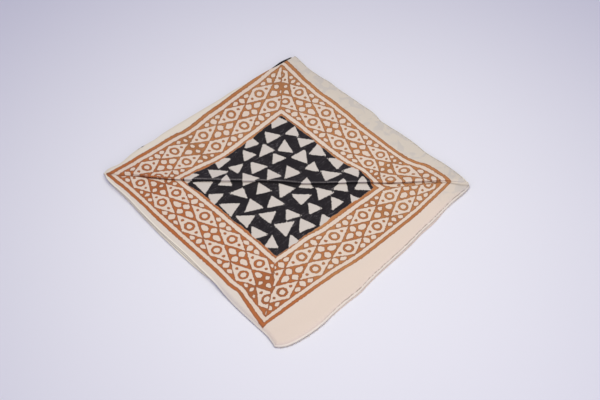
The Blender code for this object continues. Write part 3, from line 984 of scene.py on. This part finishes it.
def ground_group():
    """Black ground with its triangles left bare, and the ragged edge that it meets the border with."""
    tree, bench, given, result = new_group(
        "black ground",
        [("Place", VECTOR), ("Triangle", FLOAT)],
        [("Black", FLOAT), ("Worn", FLOAT), ("Field", FLOAT)])
    place = given["Place"]
    ragged = bench.speckle(place, 0.6, detail=3.0)
    broad = bench.speckle(place, 0.07, detail=1.0)
    x, y, _ = bench.split(place)
    lag = bench.spread(y, -45.0, 0.0, -1.6, CUT_SIDE_LAG)
    edge = bench.most(bench.add(x, lag), bench.mul(x, -1.0), bench.size(y))
    sway = bench.add(bench.mul(bench.sub(broad, 0.5), 5.0), bench.mul(bench.sub(ragged, 0.5), 2.4))
    field = bench.sub(bench.add(edge, sway), INNER_HALF + BLACK_OVERLAP)
    triangle = bench.add(given["Triangle"], bench.add(0.35, bench.mul(bench.sub(ragged, 0.5), 2.8)))
    black = bench.mul(bench.inside(field, 0.35), bench.sub(1.0, bench.inside(triangle, 0.3)))
    brushed = bench.stretch(place, (0.9, 0.16, 1.0))
    scratches = bench.speckle(brushed, 0.7, detail=6.0, roughness=0.75, distortion=1.5)
    cloudy = bench.speckle(place, 0.05, detail=3.0)
    worn = bench.mul(bench.spread(scratches, 0.54, 0.68), bench.spread(cloudy, 0.42, 0.62, 0.0, 0.85))
    bench.feed(result["Black"], black)
    bench.feed(result["Worn"], worn)
    bench.feed(result["Field"], bench.inside(field, 0.35))
    return tree


def edge_group():
    """Dark lines just inside the cloth's cut end and far edge, and a pale rim along its edges, which is
    pale yarn and also painted highlight on the lit edges.
    """
    tree, bench, given, result = new_group(
        "cut edges", [("Length", VECTOR)], [("Edge Line", FLOAT), ("Rim", FLOAT)])
    length, width, _ = bench.split(given["Length"])
    waver = bench.speckle(given["Length"], 0.12)
    broken = bench.spread(bench.speckle(given["Length"], 0.35), 0.36, 0.56)
    sway = bench.mul(bench.sub(waver, 0.5), 1.6)
    # Thin dark lines just inside the cut end and along the far edge
    end_line = bench.size(bench.sub(bench.add(length, sway), END_LINE_INSET))
    far_line = bench.size(bench.sub(bench.add(bench.sub(WIDTH / 2, width), sway), SIDE_LINE_INSET))
    lower = bench.above(length, PANEL)
    nearest = bench.add(bench.least(end_line, far_line), bench.mul(lower, PANEL))
    shown = bench.mul(broken, bench.spread(width, -110.0, -50.0, 0.1, 1.0))
    bench.feed(result["Edge Line"], bench.mul(bench.inside(bench.sub(nearest, 0.3), 0.35), shown))
    # Pale rim along the edges, partly painted highlight on the lit edges
    rim = bench.least(length, bench.sub(WIDTH / 2, bench.size(width)))
    bench.feed(result["Rim"], bench.inside(bench.sub(rim, RIM_WIDTH), 0.4))
    return tree


def sliver_mask(bench):
    """Ends of black printed shapes that show on the fold below the top one."""
    length, width, _ = bench.split(bench.stretch(bench.uv("weave"), (1 / MM, 1 / MM, 1.0)))
    return bench.inside(bench.least(*(
        bench.round_distance(bench.sub(length, row.s), bench.sub(width, row.t), row.reach_s, row.reach_t)
        for row in SLIVERS)), 0.5)


def mottle_group():
    """Slow changes of tone in washed cotton, and its fine grain."""
    tree, bench, given, result = new_group(
        "washed tone", [("Place", VECTOR)], [("Cloud", FLOAT), ("Grain", FLOAT)])
    cloud = bench.speckle(given["Place"], 0.02, detail=3.0, roughness=0.6)
    grain = bench.speckle(given["Place"], 0.9, detail=3.0, roughness=0.7)
    bench.feed(result["Cloud"], bench.spread(cloud, 0.3, 0.7))
    bench.feed(result["Grain"], grain)
    return tree


def new_material(name):
    """A material, with the bench and shader to finish it."""
    material = bpy.data.materials.new(name)
    material.use_nodes = True
    return material, NodeBench(material.node_tree), material.node_tree.nodes["Principled BSDF"]


def cotton_material(name):
    material, bench, shader = new_material(name)
    shader.inputs["Metallic"].default_value = 0.0
    shader.inputs["Specular IOR Level"].default_value = 0.25
    shader.inputs["Sheen Weight"].default_value = SHEEN
    shader.inputs["Sheen Roughness"].default_value = 0.5
    return material, bench, shader


def printed_cotton(weave, border, ground, mottle, edge):
    material, bench, shader = cotton_material("block printed cotton")
    place = bench.stretch(bench.uv("printing"), (1 / MM, 1 / MM, 1.0))
    tone = bench.group(mottle, Place=place)
    woven = bench.group(weave, Length=bench.uv("weave"), Threads=THREADS_PER_METRE)
    sides = {
        f"{side.title()}_Repeat": bench.attribute(f"{side}_repeats") for side in RepeatRow._fields[1:]}
    printed = bench.group(border, Place=place, **sides, Overprint=bench.attribute("overprint"))
    dark = bench.group(ground, Place=place, Triangle=bench.attribute("triangle_distance"))

    x, y, _ = bench.split(place)
    warm = bench.spread(x, 90.0, 150.0)
    cool = bench.spread(y, 100.0, 150.0)
    clear = bench.spread(x, -110.0, -145.0)
    ghost = bench.speckle(place, 0.075, detail=1.5, distortion=0.6)
    ghost = bench.mul(bench.spread(ghost, 0.5, 0.58), bench.mul(cool, 0.7))
    cream = bench.coated(
        CREAM, (warm, CREAM_WARM), (clear, CREAM_CLEAR), (cool, CREAM_GREY), (ghost, CREAM_COOL),
        (bench.spread(printed["Depth"], -1.0, 2.0), CREAM_PRINTED), (dark["Field"], CREAM_FIELD))
    rust = bench.coated(
        RUST, (tone["Cloud"], RUST_PALE),
        (bench.spread(y, 60.0, 110.0, 0.0, 0.5), RUST_PALE),
        (bench.spread(y, -50.0, -95.0, 0.0, 0.85), RUST_RICH),
        (bench.mul(printed["Rim"], 0.85), RUST_DEEP),
        (bench.mul(bench.attribute("overprint"), 0.3), RUST_DEEP))
    # Painted highlight along the lit top of the crease, broken up by the cotton's grain and tone
    crest_painted_highlight = bench.mul(bench.attribute("crest_painted_highlight"), bench.spread(tone["Grain"], 0.35, 0.6))
    crest_painted_highlight = bench.mul(crest_painted_highlight, bench.spread(tone["Cloud"], 0.2, 0.8, 0.25, 0.75))
    black = bench.coated(BLACK, (dark["Worn"], BLACK_WORN), (crest_painted_highlight, CREST_PAINTED_HIGHLIGHT))
    rust_cover = bench.mul(printed["Rust"], bench.spread(tone["Grain"], 0.2, 0.45, 0.82, 0.97))
    colour = bench.coated(
        cream, (bench.mul(rust_cover, bench.sub(1.0, dark["Field"])), rust),
        (bench.most(dark["Black"], sliver_mask(bench)), black))
    edges = bench.group(edge, Length=bench.stretch(bench.uv("weave"), (1 / MM, 1 / MM, 1.0)))
    # Painted shadow under the lip of the crease, darkening its foot
    foot = bench.mul(bench.attribute("crease_foot_painted_shadow"), 0.8)
    colour = bench.mix(foot, colour, FOOT_SHADE, blend="MULTIPLY")
    # Pale rim at the edges, pale yarn and painted highlight on the lit edges, then the thin dark edge
    # lines
    colour = bench.coated(
        colour, (bench.mul(edges["Rim"], 0.7), RIM_PALE), (bench.mul(edges["Edge Line"], 0.7), EDGE_LINE_DARK))
    shade = bench.spread(woven["Shade"], 0.0, 1.0, 0.93, 1.03)
    tint = bench.node("ShaderNodeCombineColor")
    for socket in tint.inputs[:3]:
        bench.feed(socket, shade)
    colour = bench.mix(1.0, colour, tint.outputs[0], blend="MULTIPLY")
    bench.feed(shader.inputs["Base Color"], colour)
    bench.feed(shader.inputs["Roughness"], bench.spread(woven["Height"], 0.0, 0.9, 0.92, 0.8))
    bump = bench.node("ShaderNodeBump")
    bump.inputs["Strength"].default_value = 0.6
    bump.inputs["Distance"].default_value = THREAD_HEIGHT
    bench.feed(bump.inputs["Height"], woven["Height"])
    bench.feed(shader.inputs["Normal"], bump.outputs["Normal"])
    return material


def bare_yarn():
    material, bench, shader = cotton_material("bare cotton yarn")
    place = bench.node("ShaderNodeTexCoord").outputs["Object"]
    tone = bench.speckle(place, 900.0)
    bench.feed(shader.inputs["Base Color"], bench.mix(tone, CREAM_WARM, RIM_PALE))
    shader.inputs["Roughness"].default_value = 0.9
    return material


def make_floor():
    mesh = bmesh.new()
    bmesh.ops.create_grid(mesh, x_segments=1, y_segments=1, size=4.0)
    data = bpy.data.meshes.new("floor")
    mesh.to_mesh(data)
    mesh.free()
    material, bench, shader = new_material("pale backing paper")
    place = bench.node("ShaderNodeTexCoord").outputs["Object"]
    cloud = bench.speckle(place, 3.0)
    paler = tuple(c * FLOOR_MOTTLE for c in FLOOR)
    bench.feed(shader.inputs["Base Color"], bench.mix(cloud, FLOOR, paler))
    shader.inputs["Roughness"].default_value = 0.95
    data.materials.append(material)
    put_in_scene("floor", data)


def light_studio():
    world = bpy.data.worlds.new("studio air")
    bpy.context.scene.world = world
    world.use_nodes = True
    air = world.node_tree.nodes["Background"]
    air.inputs["Color"].default_value = AIR_TINT
    air.inputs["Strength"].default_value = AIR_STRENGTH
    for row in LAMPS:
        light = bpy.data.lights.new(row.name, "AREA")
        light.shape = "DISK"
        light.size = row.size
        light.energy = row.power
        light.color = row.tint
        lamp = put_in_scene(row.name, light)
        lamp.location = row.place
        facing = Vector(row.aim) - Vector(row.place)
        lamp.rotation_euler = facing.to_track_quat("-Z", "Y").to_euler()
    bpy.context.scene.view_settings.view_transform = "Standard"


def set_camera():
    lens = bpy.data.cameras.new("camera")
    lens.lens = LENS
    lens.sensor_width = SENSOR
    camera = put_in_scene("camera", lens)
    aim = Vector((AIM[0] - STACK_MIDDLE[0], AIM[1] - STACK_MIDDLE[1], 0.0)) * MM
    back = Vector((math.sin(AZIMUTH) * math.cos(ELEVATION),
                   -math.cos(AZIMUTH) * math.cos(ELEVATION),
                   math.sin(ELEVATION)))
    camera.location = aim + back * DISTANCE
    camera.rotation_euler = Euler((math.pi / 2 - ELEVATION, 0.0, AZIMUTH))
    bpy.context.scene.camera = camera


set_camera()
light_studio()
make_floor()
cloth = make_cloth(printed_cotton(
    weave_group(), border_group(lattice_group()), ground_group(), mottle_group(), edge_group()))
frayed = fray_ends(bare_yarn())
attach(cloth, "root")
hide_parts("cloth")
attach(frayed, "root")

bpy.context.view_layer.update()
